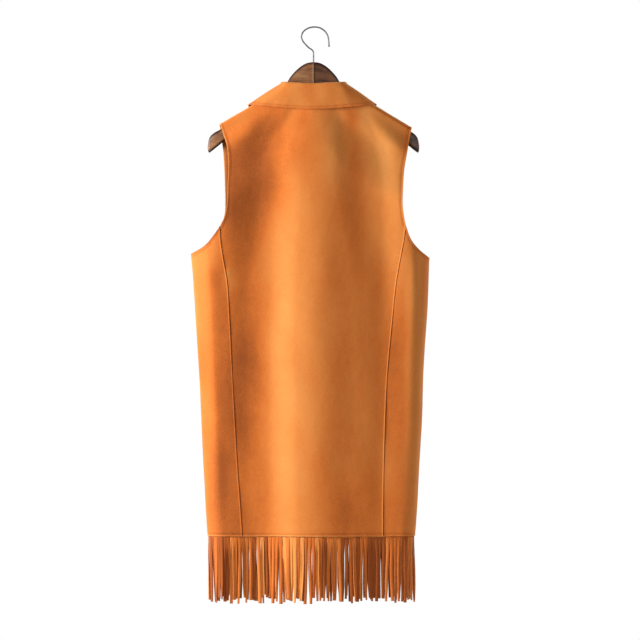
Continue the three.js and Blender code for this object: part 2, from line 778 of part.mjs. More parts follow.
// The fringes follow the hem through the panels' own columns.
const columnsOf = (columns, from, to) => columns.map((share) => mix(from, to, share));
const sideHem = (side) => columnsOf(sideColumns, sideOf[side](hemDrop), seamOf[side](hemDrop));
const backHem = columnsOf(backColumns, seamOf.left(hemDrop), seamOf.right(hemDrop));
const backHemXs = [...sideHem("left"), ...backHem.slice(1, -1), ...sideHem("right").reverse()];
add(hanging, "fringe_back", fringePiece(-1, backHemXs, 0), "suede");
for (const [side, salt] of [["left", 1], ["right", 2]]) {
  const frontEdge = shoulders[side].sign * frontEdgeOut(hemDrop);
  const xs = columnsOf(frontColumns, sideOf[side](hemDrop), frontEdge);
  add(hanging, "fringe_front_" + side, fringePiece(1, xs, salt), "suede");
}

export default part;
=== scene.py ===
import math
import random

import bpy
import numpy as np
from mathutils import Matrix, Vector


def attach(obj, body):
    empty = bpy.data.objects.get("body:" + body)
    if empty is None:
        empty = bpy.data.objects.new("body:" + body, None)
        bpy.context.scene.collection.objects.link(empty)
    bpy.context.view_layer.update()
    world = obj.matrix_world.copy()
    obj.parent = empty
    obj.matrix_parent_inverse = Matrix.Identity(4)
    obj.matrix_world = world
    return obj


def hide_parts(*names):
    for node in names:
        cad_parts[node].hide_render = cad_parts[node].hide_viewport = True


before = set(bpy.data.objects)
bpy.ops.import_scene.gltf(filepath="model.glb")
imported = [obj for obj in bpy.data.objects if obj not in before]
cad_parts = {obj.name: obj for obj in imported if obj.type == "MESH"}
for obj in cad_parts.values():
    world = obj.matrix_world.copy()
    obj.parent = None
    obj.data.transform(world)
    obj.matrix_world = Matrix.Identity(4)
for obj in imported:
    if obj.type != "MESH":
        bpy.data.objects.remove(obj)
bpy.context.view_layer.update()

# Sizes below are in millimetres, as a pattern cutter writes them, and become metres in addMesh.
# Drops are distances below the inner top of the hook. +X is the wearer's right, -Y is behind.
mm = 0.001
hangerX = -3             # the hanger's middle, beside the top of the hook
clothThickness = 1.5


# Small helpers

def mix(a, b, share):
    return a + (b - a) * share


def smooth(low, high, value):
    s = np.clip((np.asarray(value, float) - low) / (high - low), 0, 1)
    return s * s * (3 - 2 * s)


def smoothCurve(places, values):  # passes through every value, level past the ends
    places = np.array(places, float)
    values = np.array(values, float)
    slopes = np.gradient(values, places)
    slopes[1:-1] = (values[2:] - values[:-2]) / (places[2:] - places[:-2])

    def at(place):
        place = np.clip(np.asarray(place, float), places[0], places[-1])
        i = np.clip(np.searchsorted(places, place, side="right") - 1, 0, len(places) - 2)
        span = places[i + 1] - places[i]
        s = (place - places[i]) / span
        rise = s * s * (3 - 2 * s)
        leaving = s * (1 - s) ** 2 * span * slopes[i]
        arriving = s * s * (1 - s) * span * slopes[i + 1]
        return values[i] + (values[i + 1] - values[i]) * rise + leaving - arriving
    return at


def columnCurves(names, rows):  # one smooth curve for each later column, along the first
    columns = list(zip(*rows))
    return {name: smoothCurve(columns[0], column) for name, column in zip(names[1:], columns[1:])}


def stepsAlong(start, end, step, fineStart=(), fineEnd=()):  # close steps near the ends
    span = end - start
    sign = math.copysign(1, span)
    first = [start + sign * d for d in (0, *fineStart)]
    last = [end - sign * d for d in (0, *fineEnd)][::-1]
    count = max(int(round(abs(last[0] - first[-1]) / step)), 1)
    middle = [mix(first[-1], last[0], i / count) for i in range(1, count)]
    return np.array(first + middle + last)


def waves(x, z, wavelength, seed, count=6):  # a gentle unevenness between about -1 and 1
    rng = random.Random(seed)
    total = np.zeros(np.broadcast(x, z).shape)
    for _ in range(count):
        turn = rng.uniform(0, math.pi)
        size = wavelength * rng.uniform(0.7, 1.5)
        along = np.cos(turn) * x + np.sin(turn) * z
        total += np.sin(along * 2 * math.pi / size + rng.uniform(0, 6.3))
    return total / count * 1.6


def unit(vectors):
    return vectors / np.maximum(np.linalg.norm(vectors, axis=-1, keepdims=True), 1e-9)


def hill(value, middle, half):  # 1 at the middle, and almost nothing two halves away
    return np.exp(-((value - middle) / half) ** 2)


def lengthsAlong(places, power=1):
    gaps = np.linalg.norm(np.diff(np.asarray(places, float), axis=0), axis=-1)
    return np.concatenate([[0], np.cumsum(gaps ** power)])


def placeAt(length, lengths, places):
    return np.array([np.interp(length, lengths, places[:, k]) for k in range(3)])


def meetingDrops(low, high, before):  # halves each column's span until it meets an outline
    for _ in range(40):
        middle = (low + high) / 2
        early = before(middle)
        low, high = np.where(early, middle, low), np.where(early, high, middle)
    return (low + high) / 2


def gridNormals(points, inward):  # outward normals of a grid, with inward pointing into it
    down, across = np.gradient(points, axis=(0, 1))
    normals = unit(np.cross(across, down))
    middle = normals[normals.shape[0] // 2, normals.shape[1] // 2]
    return -normals if np.dot(middle, inward) > 0 else normals


def addObject(name, data):
    made = bpy.data.objects.new(name, data)
    bpy.context.scene.collection.objects.link(made)
    return made


def addMesh(name, points, faces, looks, faceLooks=None, flat=(), shift=hangerX):
    mesh = bpy.data.meshes.new(name)
    places = (np.asarray(points, float) + (shift, 0, 0)) * mm
    mesh.from_pydata(places.tolist(), [], faces)
    piece = addObject(name, mesh)
    for look in looks:
        mesh.materials.append(look)
    if faceLooks is not None:
        mesh.polygons.foreach_set("material_index", np.asarray(faceLooks, dtype=np.int32))
    hard = np.zeros(len(faces), dtype=bool)
    hard[list(flat)] = True
    mesh.polygons.foreach_set("use_smooth", ~hard)
    mesh.update()
    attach(piece, "root")
    return piece


def setTones(piece, tones):  # how far the colour of each point departs from its material's own: nap and wear, and also painted light and shade
    attribute = piece.data.attributes.new("tone", "FLOAT", "POINT")
    attribute.data.foreach_set("value", np.asarray(tones, dtype=np.float32).ravel())


def addWall(name, outer, normals, looks, tone):  # a cloth wall with its own cut edge
    rows, columns = outer.shape[:2]
    far = rows * columns
    inner = outer - normals * clothThickness
    points = np.concatenate([outer.reshape(-1, 3), inner.reshape(-1, 3)])
    index = np.arange(far).reshape(rows, columns)
    corners = (index[:-1, :-1], index[:-1, 1:], index[1:, 1:], index[1:, :-1])
    front = np.stack(corners, axis=-1).reshape(-1, 4)
    p = points[front[0]]
    turned = np.dot(np.cross(p[1] - p[0], p[3] - p[0]), normals[0, 0]) < 0
    front = front[:, ::-1] if turned else front
    back = front[:, ::-1] + far
    loop = np.array([*index[0, :-1], *index[:-1, -1], *index[-1, :0:-1], *index[:0:-1, 0]])
    after = np.roll(loop, -1)
    rim = np.stack([loop, after, after + far, loop + far], axis=-1)
    rim = rim if turned else rim[:, ::-1]
    faces = np.concatenate([front, back, rim]).tolist()
    # inner faces take the reverse side's colour, kept dark as painted shade
    backLook = 2 if len(looks) > 2 else 0
    faceLooks = [0] * len(front) + [backLook] * len(back) + [1] * len(rim)
    piece = addMesh(name, points, faces, looks, faceLooks, flat=range(2 * len(front), len(faces)))
    setTones(piece, np.stack([np.broadcast_to(tone, (rows, columns))] * 2))
    return piece


def tubeFaces(rings, sides, first=0):  # the faces round a tube, then its two ends
    faces = []
    last = first + (rings - 1) * sides
    for ring in range(first, last, sides):
        for k in range(sides):
            a, b = ring + k, ring + (k + 1) % sides
            faces.append((a, b, b + sides, a + sides))
    return faces + [tuple(range(first, first + sides))[::-1], tuple(range(last, last + sides))]


def addLoft(name, rings, looks, shift=hangerX):  # a closed solid through rings of points
    rings = np.asarray(rings, float)
    count, sides = rings.shape[:2]
    points = rings.reshape(-1, 3)
    faces = tubeFaces(count, sides)
    p = points[list(faces[count // 2 * sides])]
    if np.dot(np.cross(p[1] - p[0], p[2] - p[0]), p.mean(axis=0) - points.mean(axis=0)) < 0:
        faces = [face[::-1] for face in faces]
    return addMesh(name, points, faces, looks, flat=(-1, -2), shift=shift)


# Shader nodes

class Wire:  # a socket that Python's own operators can work with

    def __init__(self, nodes, socket):
        self.nodes = nodes
        self.socket = socket

    def math(self, operation, first, second):
        return self.nodes.node("ShaderNodeMath", {"operation": operation}, {0: first, 1: second})

    def __add__(self, other):
        return self.math("ADD", self, other)

    def __sub__(self, other):
        return self.math("SUBTRACT", self, other)

    def __rsub__(self, other):
        return self.math("SUBTRACT", other, self)

    def __mul__(self, other):
        return self.math("MULTIPLY", self, other)

    __radd__ = __add__
    __rmul__ = __mul__


class Nodes:  # makes the nodes of one tree and joins them

    def __init__(self, tree):
        self.tree = tree

    def node(self, kind, settings=None, sockets=None, out=0):
        node = self.tree.nodes.new(kind)
        for key, value in (settings or {}).items():
            if key == "stops":
                ramp = node.color_ramp.elements
                while len(ramp) < len(value):
                    ramp.new(0.5)
                for element, (place, colour) in zip(ramp, value):
                    element.position = place
                    element.color = (*colour, 1)
            else:
                setattr(node, key, value)
        for key, value in (sockets or {}).items():
            self.plug(node.inputs[key], value)
        return Wire(self, node.outputs[out])

    def plug(self, socket, value):
        if isinstance(value, Wire):
            self.tree.links.new(value.socket, socket)
        else:
            socket.default_value = value


class Recipe(Nodes):  # one material

    def __init__(self, name, **constants):
        self.material = bpy.data.materials.new(name)
        self.material.use_nodes = True
        super().__init__(self.material.node_tree)
        self.shader = self.tree.nodes["Principled BSDF"]
        for key, value in constants.items():
            self.shader.inputs[key.replace("_", " ")].default_value = value
        self.places = self.node("ShaderNodeTexCoord", out="Object")

    def set(self, name, value):
        self.plug(self.shader.inputs[name], value)

    def tone(self):
        return self.node("ShaderNodeAttribute", {"attribute_name": "tone"}, out="Fac")

    def noise(self, scale, detail=3, stretch=(1, 1, 1), roughness=0.55, lift=0.0):
        where = self.node("ShaderNodeMapping", {}, {
            "Vector": self.places, "Scale": stretch, "Location": (lift, lift, lift)})
        return self.node("ShaderNodeTexNoise", {"noise_dimensions": "3D"}, {
            "Vector": where, "Scale": scale, "Detail": detail, "Roughness": roughness})

    def ramp(self, value, *stops):
        return self.node("ShaderNodeValToRGB", {"stops": stops}, {0: value})

    def bump(self, height, strength, distance):
        return self.node("ShaderNodeBump", {}, {
            "Height": height, "Strength": strength, "Distance": distance})


suedeLook = {
    "shadow": (0.36, 0.082, 0.014), "deep": (0.66, 0.163, 0.025), "light": (0.75, 0.268, 0.06),
    "lit": (0.8, 0.32, 0.085), "wornAndLit": (0.96, 0.5, 0.21), "sheen": 0.3,
    "sheenTint": (1.0, 0.76, 0.5, 1), "inside": (0.42, 0.125, 0.032),
    "insideLight": (0.56, 0.19, 0.055), "cutEdge": (0.9, 0.46, 0.2),
    "cutEdgeDeep": (0.74, 0.3, 0.1), "threadDark": (0.42, 0.115, 0.02), "thread": (0.62, 0.2, 0.04),
}


def suedeRecipe(name, light, deep):
    cloth = Recipe(name, Sheen_Weight=suedeLook["sheen"], Sheen_Roughness=0.5,
                   Sheen_Tint=suedeLook["sheenTint"], Specular_IOR_Level=0.12)
    clouds = cloth.noise(5.5, detail=2, roughness=0.5)
    mottle = cloth.noise(38, detail=4, roughness=0.6, lift=3.1)
    nap = cloth.noise(520, detail=2, stretch=(1, 1, 0.55))
    fibre = cloth.noise(1500, detail=1, stretch=(1, 1, 0.3))
    # the tone carries nap and wear, and also painted light and shade that reach the 'lit' and 'shadow'
    # stops
    shade = clouds * 0.13 + mottle * 0.15 + nap * 0.26 + 0.23 + cloth.tone() * 0.4
    cloth.set("Base Color", cloth.ramp(
        shade, (0.1, suedeLook["shadow"]), (0.35, deep), (0.65, light),
        (0.8, suedeLook["lit"]), (1, suedeLook["wornAndLit"])))
    cloth.set("Roughness", nap * 0.16 + 0.8)
    height = nap * 0.7 + fibre * 0.3 + mottle * 0.9
    cloth.set("Normal", cloth.bump(height, 0.35, 0.0006))
    return cloth.material


suede = suedeRecipe("suede", suedeLook["light"], suedeLook["deep"])
cutEdge = suedeRecipe("suedeCutEdge", suedeLook["cutEdge"], suedeLook["cutEdgeDeep"])
# the suede's reverse side, made darker than the face as painted shade on inner faces
inside = suedeRecipe("suedeReverseAndShade", suedeLook["insideLight"], suedeLook["inside"])
clothLooks = [suede, cutEdge]
panelLooks = [suede, cutEdge, inside]


def threadRecipe():
    thread = Recipe("thread", Sheen_Weight=0.15, Specular_IOR_Level=0.3)
    strands = thread.noise(900, detail=1)
    thread.set("Base Color", thread.ramp(
        strands, (0.3, suedeLook["threadDark"]), (0.7, suedeLook["thread"])))
    thread.set("Roughness", strands * 0.2 + 0.55)
    thread.set("Normal", thread.bump(strands, 0.4, 0.0002))
    return thread.material


threadLook = threadRecipe()
print("suede and thread ready")


# The hanger's lines, which the cloth follows

hanger = {"slant": 12, "sweep": 13.5, "reach": 213, "end": 212.8, "thickness": 12.4,
          "middleThickness": 10.6, "neckThickness": 8.8, "tipTaper": 2, "humpDrop": 68.6}
armLines = columnCurves(("out", "top", "bottom"), [
    (0, hanger["humpDrop"], 134), (12.6, 70.6, 135), (23, 75.8, 138), (31.8, 82.6, 142),
    (40, 90.8, 146), (46.6, 98.9, 149), (52, 107.8, 152), (56, 114.4, 155), (62, 121.2, 158),
    (74, 130.2, 164), (100, 144.4, 178), (128, 160.9, 193), (150, 174.4, 205), (170, 190.8, 219),
    (187, 202.8, 232.5), (200, 210, 243), (208, 217.5, 249), (212.5, 227, 251.5),
])


def armY(x):
    share = np.abs(x) / hanger["reach"]
    return share * (hanger["slant"] + hanger["sweep"] * share)


# The vest's outline and the way it hangs

vest = {"neckHalf": 74, "neckPointDrop": 126, "neckDip": 12, "hemDrop": 1018.4, "seamDrop": 397.4,
        "seamGap": 0.36, "bendWidth": 8.5, "bendHeight": 9.8, "armClear": 3, "armDepth": 44,
        "valleyDepth": 84, "ridgeStart": 16, "ridgeDepth": 62, "freeDepth": 170, "fullness": 3,
        "sideCurve": 1.6, "foldFade": 0.15}
hem, seamTop = vest["hemDrop"], vest["seamDrop"]
signs = {"left": -1, "right": 1}
shoulders = {"left": {"tipX": -187.8, "tipDrop": 192, "underarm": 454.4},
             "right": {"tipX": 197.4, "tipDrop": 198.8, "underarm": 462.8}}
armholes = {
    "left": columnCurves(("drop", "back", "front"), [
        (192, -187.8, -189.5), (213.6, -181, -186.5), (236.6, -174, -183), (259.6, -171, -181),
        (287.2, -170.6, -179.5), (321.6, -171.8, -178.5), (351.4, -172.8, -178),
        (374.4, -176.4, -179.5), (seamTop, -186.6, -187.5), (418, -200.4, -201),
        (438.6, -218.8, -219), (454.4, -246, -246),
    ]),
    "right": columnCurves(("drop", "back", "front"), [
        (198.8, 197.4, 197.4), (222.8, 192.8, 191), (255, 187, 183.5), (287.2, 181.8, 177.5),
        (321.6, 179.4, 174.5), (356, 178.6, 174), (379, 181.2, 177.5),
        (seamTop, 185.1, 182.6), (424.8, 195, 194), (445.6, 211.2, 211), (462.8, 233, 233),
    ]),
}
seamLines = columnCurves(("drop", "left", "leftSeam", "rightSeam", "right"), [
    (seamTop, -246, -186.6, 185.1, 233), (425, -246, -185.2, 182.2, 233),
    (455, -246, -181, 176.5, 233), (510, -241.5, -171.5, 166.8, 231),
    (570, -237.2, -167.4, 160.3, 228.8), (690, -230.3, -161, 149, 220.8),
    (785, -225.6, -156, 144.2, 217.8), (885, -220.5, -150.2, 141.6, 212.2),
    (960, -216.8, -145, 140.2, 208.5), (hem, -213, -141.6, 139.6, 204),
])
depthLines = columnCurves(("drop", "back", "front", "sideY"), [
    (110, 9, 9, 15), (160, 10.5, 10.5, 14.5), (200, 14, 13, 14), (300, 26, 22, 11),
    (400, 35, 30, 8), (455, 38, 33, 7), (700, 42, 37, 5), (hem, 44, 40, 4),
])
foldDrops = [170, 250, 330, 600, 1000]
backFolds = [  # x at each drop, then height at each drop, then half width
    ((10, 10, 9, 8, 4), (1, 3.5, 8, 11.5, 11), 98),
    ((-70, -88, -92, -104, -98), (-4, -5.5, -8, -9, -9), 70),
    ((78, 98, 112, 152, 148), (-4, -5, -6.5, -6.5, -5.5), 70),
    ((-130, -185, -195, -220, -214), (8, 13, 13, 11.5, 11), 92),
    ((140, 187, 198, 198, 192), (6, 13, 11, 6, 5), 66),
]
frontFolds = [
    ((-118, -119, -120, -128, -124), (1, 3.5, 6, 8, 8), 74),
    ((-58, -55, -52, -52, -50), (-0.5, -1.8, -3, -4, -4), 52),
    ((124, 125, 126, 120, 126), (1, 3.8, 6.5, 7.5, 7), 70),
    ((62, 58, 54, 48, 52), (-0.5, -1.8, -3, -4.5, -4), 50),
]


def foldHeight(folds, x, drop):
    height = np.zeros(np.broadcast(x, drop).shape)
    for places, heights, half in folds:
        away = (x - smoothCurve(foldDrops, places)(drop)) / half
        shape = np.where(np.abs(away) < 1, (1 + np.cos(np.pi * np.clip(away, -1, 1))) / 2, 0)
        height += smoothCurve(foldDrops, heights)(drop) * shape
    return height


def shoulderDrop(x):
    left, right = shoulders["left"], shoulders["right"]
    tipX = np.where(np.less(x, 0), -left["tipX"], right["tipX"])
    tipDrop = np.where(np.less(x, 0), left["tipDrop"], right["tipDrop"])
    share = (np.abs(x) - vest["neckHalf"]) / (tipX - vest["neckHalf"])
    return mix(vest["neckPointDrop"], tipDrop, share)


def neckDrop(x):
    share = np.minimum(np.abs(x) / vest["neckHalf"], 1)
    return vest["neckPointDrop"] + vest["neckDip"] * (1 - share ** 2.5)


def clothY(facing, x, drop):  # facing is -1 on the back and 1 on the fronts
    ridge = np.minimum(shoulderDrop(x), armLines["top"](np.abs(x)) - vest["armClear"])
    below = np.maximum(drop - ridge, 0)
    bend = np.minimum(below / vest["bendHeight"], 1)
    onArm = armY(x) + facing * vest["bendWidth"] * np.sqrt(1 - (1 - bend) ** 2)
    left, right = seamLines["left"](drop), seamLines["right"](drop)
    u = np.minimum(np.abs((2 * x - left - right) / (right - left)), 1)
    full = (1 - u ** vest["fullness"]) ** (1 / vest["fullness"])
    depth = depthLines["back" if facing < 0 else "front"](drop)
    folds = foldHeight(backFolds if facing < 0 else frontFolds, x, drop)
    fold = folds * smooth(0, vest["foldFade"], 1 - u)
    hanging = depthLines["sideY"](drop) * u ** vest["sideCurve"] + facing * depth * full
    y = mix(onArm, hanging, smooth(vest["armDepth"], vest["freeDepth"], below))
    valley = smooth(vest["armDepth"], vest["valleyDepth"], below)  # a valley stays clear of the arm
    folded = fold * np.where(fold < 0, valley, smooth(vest["ridgeStart"], vest["ridgeDepth"], below))
    return y + facing * (folded + vest["seamGap"] / 2)


def clothGrid(facing, x, drop):
    x, drop = np.broadcast_arrays(x, drop)
    return np.stack([x, clothY(facing, x, drop), -drop], axis=-1)


# How the surface stands up or sinks at seams and stitched edges, with its nap colour and the painted
# light and shade laid on it

relief = {"ridge": 0.8, "ridgeIn": 1.3, "ridgeWidth": 0.9, "seamSink": -0.5, "sinkWidth": 0.75,
          "edgeRoll": 0.45, "rollWidth": 2.2, "stitchIn": 5.5, "stitchDepth": -0.28,
          "stitchWidth": 1.1, "pucker": 0.28, "edgePucker": 0.22, "hemStitch": 3.6, "broad": 0.42,
          "fine": 0.1, "creaseDrop": 633, "creaseDepth": -0.55, "creaseWidth": 3.2}
# nap colour and painted light and shade: the stitch groove's shade, the seam's highlight and shadow
# line, the slope's light; sideSeam also scales a relief
nap = {"edgeWidth": 1.5, "groove": -0.32, "grooveIn": 4.6, "grooveWidth": 2.4, "ridge": 0.5,
       "ridgeIn": 1.9, "seam": -0.6, "slope": 1.1, "clouds": 0.1, "sideSeam": 0.6}


def seamRelief(away, drop, seed, ridged):  # the seam sinks in, and a narrow ridge lies to its left
    sink = relief["seamSink"] * hill(away, 0, relief["sinkWidth"])
    ridge = relief["ridge"] * hill(away, relief["ridgeIn"], relief["ridgeWidth"])
    ripple = waves(drop * 0, drop, 17, seed) * np.exp(-away / 9) * (1 - np.exp(-away / 3))
    return sink + ridge * ridged + relief["pucker"] * ripple


def edgeRelief(away, along, seed, stitchIn=relief["stitchIn"]):  # a cut edge with a row of stitches
    roll = relief["edgeRoll"] * hill(away, 0, relief["rollWidth"])
    groove = relief["stitchDepth"] * hill(away, stitchIn, relief["stitchWidth"])
    ripple = waves(along * 0, along, 21, seed) * np.exp(-away / 11)
    return roll + groove + ripple * relief["edgePucker"]


def clothRelief(x, drop, seed):  # unevenness of the whole cloth
    broad = waves(x, drop * 0.45, 74, seed) * relief["broad"]
    return broad + waves(x, drop * 0.7, 23, seed + 1) * relief["fine"]


def edgeWearAndShade(away, wornAndLit=1.1):  # a pale cut edge, partly worn nap and partly painted highlight, and painted shade in the groove along the stitches; a negative amount paints the edge as a dark shaded line
    groove = nap["groove"] * hill(away, nap["grooveIn"], nap["grooveWidth"])
    return wornAndLit * hill(away, 0, nap["edgeWidth"]) + groove


# painted highlight on the ridge beside the seam, and a painted shadow line in the seam itself
def seamHighlightAndShade(away, ridged):
    return nap["ridge"] * ridged * hill(away, nap["ridgeIn"], 1) + nap["seam"] * hill(away, 0, 1)


paintedShadeAndHighlights = [  # patches of painted shade (negative tone) and painted highlight (positive tone), set where the folds' light and shade fell short: x, drop, half width, half height, tone
    (-196, 498, 15, 34, -0.45), (-150, 250, 50, 62, -0.3), (-62, 240, 66, 80, -0.55),
    (-168, 335, 20, 95, -0.7), (-110, 355, 36, 110, -0.4), (-100, 740, 26, 260, -0.25),
    (-184, 690, 22, 170, -0.45), (-228, 700, 15, 260, -0.35), (-184, 940, 28, 120, -0.8),
    (-140, 700, 30, 150, -0.5), (-172, 492, 3, 8, 0.6), (54, 250, 40, 70, 0.26),
    (150, 300, 34, 60, 0.1), (104, 200, 22, 44, 0.2), (128, 262, 22, 42, 0.12),
    (84, 250, 14, 75, -0.3), (164, 212, 24, 32, 0.22), (156, 650, 30, 220, -0.35),
    (90, 990, 95, 110, -0.35), (208, 560, 15, 160, 0.25), (200, 860, 15, 170, 0.2),
    (174, 740, 24, 330, -0.5), (-76, 322, 30, 55, -0.45), (38, 200, 22, 45, 0.4),
    (78, 182, 16, 24, -0.5), (-112, 185, 18, 26, -0.25), (-20, 182, 16, 26, -0.4),
    (-82, 985, 26, 60, -0.4), (-168, 506, 15, 24, 0.5), (-120, 590, 20, 90, -0.2),
]


# painted light: the slope term and the patches paint the folds' light and shade, and the waves are
# random nap clouds
def napAndPaintedLight(x, drop):
    turn = (foldHeight(backFolds, x + 2, drop) - foldHeight(backFolds, x - 2, drop)) / 4
    tone = turn * nap["slope"]  # paler on slopes that face the window
    tone += waves(x, drop * 0.6, 60, 91) * nap["clouds"]
    for markX, markDrop, halfWidth, halfHeight, depth in paintedShadeAndHighlights:
        tone += depth * hill(x, markX, halfWidth) * hill(drop, markDrop, halfHeight)
    return tone


def hemWearAndShade(drop, x):  # its pale edge, partly wear and partly painted highlight, fades to the right, away from the window; painted shade along its stitches
    return edgeWearAndShade(hem - drop, mix(0.85, 0.15, smooth(-30, 120, x)))


sideLean = {"left": -3.2, "right": 2.5, "edge": 10}  # how far the side panels stand out or in


def leanRelief(x, drop):
    left = sideLean["left"] * (smooth(-236, -178, x) - smooth(-172, -96, x))
    rightEdge = seamLines["right"](drop)
    right = sideLean["right"] * (smooth(180, 208, x) - smooth(-sideLean["edge"], 0, x - rightEdge))
    return (left + right) * smooth(430, 520, drop) * (1 - smooth(920, 1005, drop))


def besideCurve(x, drop, edge):  # distance from an outline x = edge(drop), square to it
    slope = (edge(drop + 1) - edge(drop - 1)) / 2
    return np.abs(x - edge(drop)) / np.sqrt(1 + slope ** 2)


edgeSteps = (0.5, 1, 1.6, 2.3, 3.1, 4, 4.8, 5.5, 6.2, 7.2, 9, 11.5)  # close rows at stitched edges
hemSteps = (0.8, 1.7, 2.6, 3.3, 3.9, 4.6, 6, 8.5)
bendSteps = (0.6, 1.3, 2.1, 3, 4, 5.2, 6.6, 8.2, 10, 12.5, 16)
neckSteps = (1, 2, 3.5, 5.5, 8, 11.5)


def hemRelief(drop, x):
    return edgeRelief(hem - drop, x, 61, relief["hemStitch"])


def seamEdge(side, outward):  # one of the two cut edges that meet at a long seam
    gap = outward * signs[side] * vest["seamGap"] / 2
    return lambda d: seamLines[side + "Seam"](d) + gap


def backEdge(side):  # the back panel's own side: the armhole, then the long seam
    seam = seamEdge(side, -1)
    return lambda d: np.where(d < seamTop, armholes[side]["back"](d), seam(d))


def panelWall(name, facing, x, drop, rise, tone):
    points = clothGrid(facing, x, drop)
    normals = gridNormals(points, (0, -facing, 0))
    return addWall(name, points + normals * rise[..., None], normals, panelLooks, tone)


def backPanel():
    left, right = shoulders["left"]["tipX"], shoulders["right"]["tipX"]
    neck = vest["neckHalf"]
    topX = np.concatenate([
        stepsAlong(left, -neck, 4.6, edgeSteps)[:-1],
        stepsAlong(-neck, 0, 4.6, neckSteps)[:-1],
        stepsAlong(0, neck, 4.6, (), neckSteps)[:-1],
        stepsAlong(neck, right, 4.6, (), edgeSteps),
    ])
    q = (topX - left) / (right - left)
    top = np.where(np.abs(topX) < neck, neckDrop(topX), shoulderDrop(topX))
    upper = stepsAlong(0, 270, 5.2, bendSteps) / 270
    lower = stepsAlong(seamTop, hem, 6, fineEnd=hemSteps)
    drop = np.concatenate([
        top + (seamTop - top) * upper[:-1, None],
        np.repeat(lower[:, None], len(q), axis=1),
    ])
    edges = {side: backEdge(side) for side in shoulders}
    x = mix(edges["left"](drop), edges["right"](drop), q)
    rise = clothRelief(x, drop, 11) + hemRelief(drop, x) + leanRelief(x, drop)
    tone = napAndPaintedLight(x, drop) + hemWearAndShade(drop, x)
    onSeam = smooth(seamTop - 1, seamTop + 7, drop)
    for seed, side, wornAndLit in ((21, "left", 1.1), (22, "right", 0.5)):
        away = besideCurve(x, drop, edges[side])
        joined = seamRelief(away, drop, seed, side == "right")
        rise += mix(edgeRelief(away, drop, seed), joined, onSeam)
        tone += mix(edgeWearAndShade(away, wornAndLit), seamHighlightAndShade(away, side == "right"), onSeam)
    # a pale line along the shoulder edges: partly cut edge, partly painted highlight
    tone += edgeWearAndShade((drop - top) * 0.86, 0.9) * (np.abs(topX) > neck)
    creased = smooth(-155, -120, x) * (1 - smooth(-10, 25, x))  # where the cloth had been folded
    crease = hill(drop, relief["creaseDrop"] + waves(x, x * 0, 90, 5) * 2.5, relief["creaseWidth"])
    rise += relief["creaseDepth"] * creased * crease
    return panelWall("backPanel", -1, x, drop, rise, tone)


def backSide(side):
    seam = seamEdge(side, 1)
    width = abs(float(seamLines[side](700) - seam(700)))
    q = stepsAlong(0, width, 3.2, edgeSteps[:7], edgeSteps) / width
    across = lambda d: mix(seamLines[side](d), seam(d), q)
    outside = lambda d: signs[side] * (across(d) - armholes[side]["back"](d)) > vest["seamGap"] / 2
    top = meetingDrops(seamTop, shoulders[side]["underarm"], outside)
    drop = mix(top, hem, stepsAlong(0, 600, 6, edgeSteps, hemSteps)[:, None] / 600)
    x = across(drop)
    away = besideCurve(x, drop, seam)
    fromArmhole = (drop - top) * 0.75
    fromSide = q * width
    rise = clothRelief(x, drop, 31) + hemRelief(drop, x) + leanRelief(x, drop)
    rise += seamRelief(away, drop, 21 if side == "left" else 22, side == "left")
    rise += edgeRelief(fromArmhole, x, 33) * (1 - np.exp(-away / 5))
    rise += nap["sideSeam"] * seamRelief(fromSide, drop, 34, True)
    # painted highlight on the left seam's ridge, fading lower down, and a painted shadow line along the
    # armhole edge
    ridgeHighlight = 0.6 * (side == "left") * (1 - 0.8 * smooth(520, 640, drop))
    tone = napAndPaintedLight(x, drop) + seamHighlightAndShade(away, ridgeHighlight) + edgeWearAndShade(fromArmhole, -0.8)
    tone += hemWearAndShade(drop, x) + nap["sideSeam"] * seamHighlightAndShade(fromSide, True)
    return panelWall("backSide" + side.capitalize(), -1, x, drop, rise, tone)


frontEdge = {"breakDrop": 470, "width": 170}
frontEdgeOut = smoothCurve(
    (vest["neckPointDrop"], 150, 181, frontEdge["breakDrop"], 560, 800, hem),
    (vest["neckHalf"], 67, 58, 11, 9, 12, 15),
)


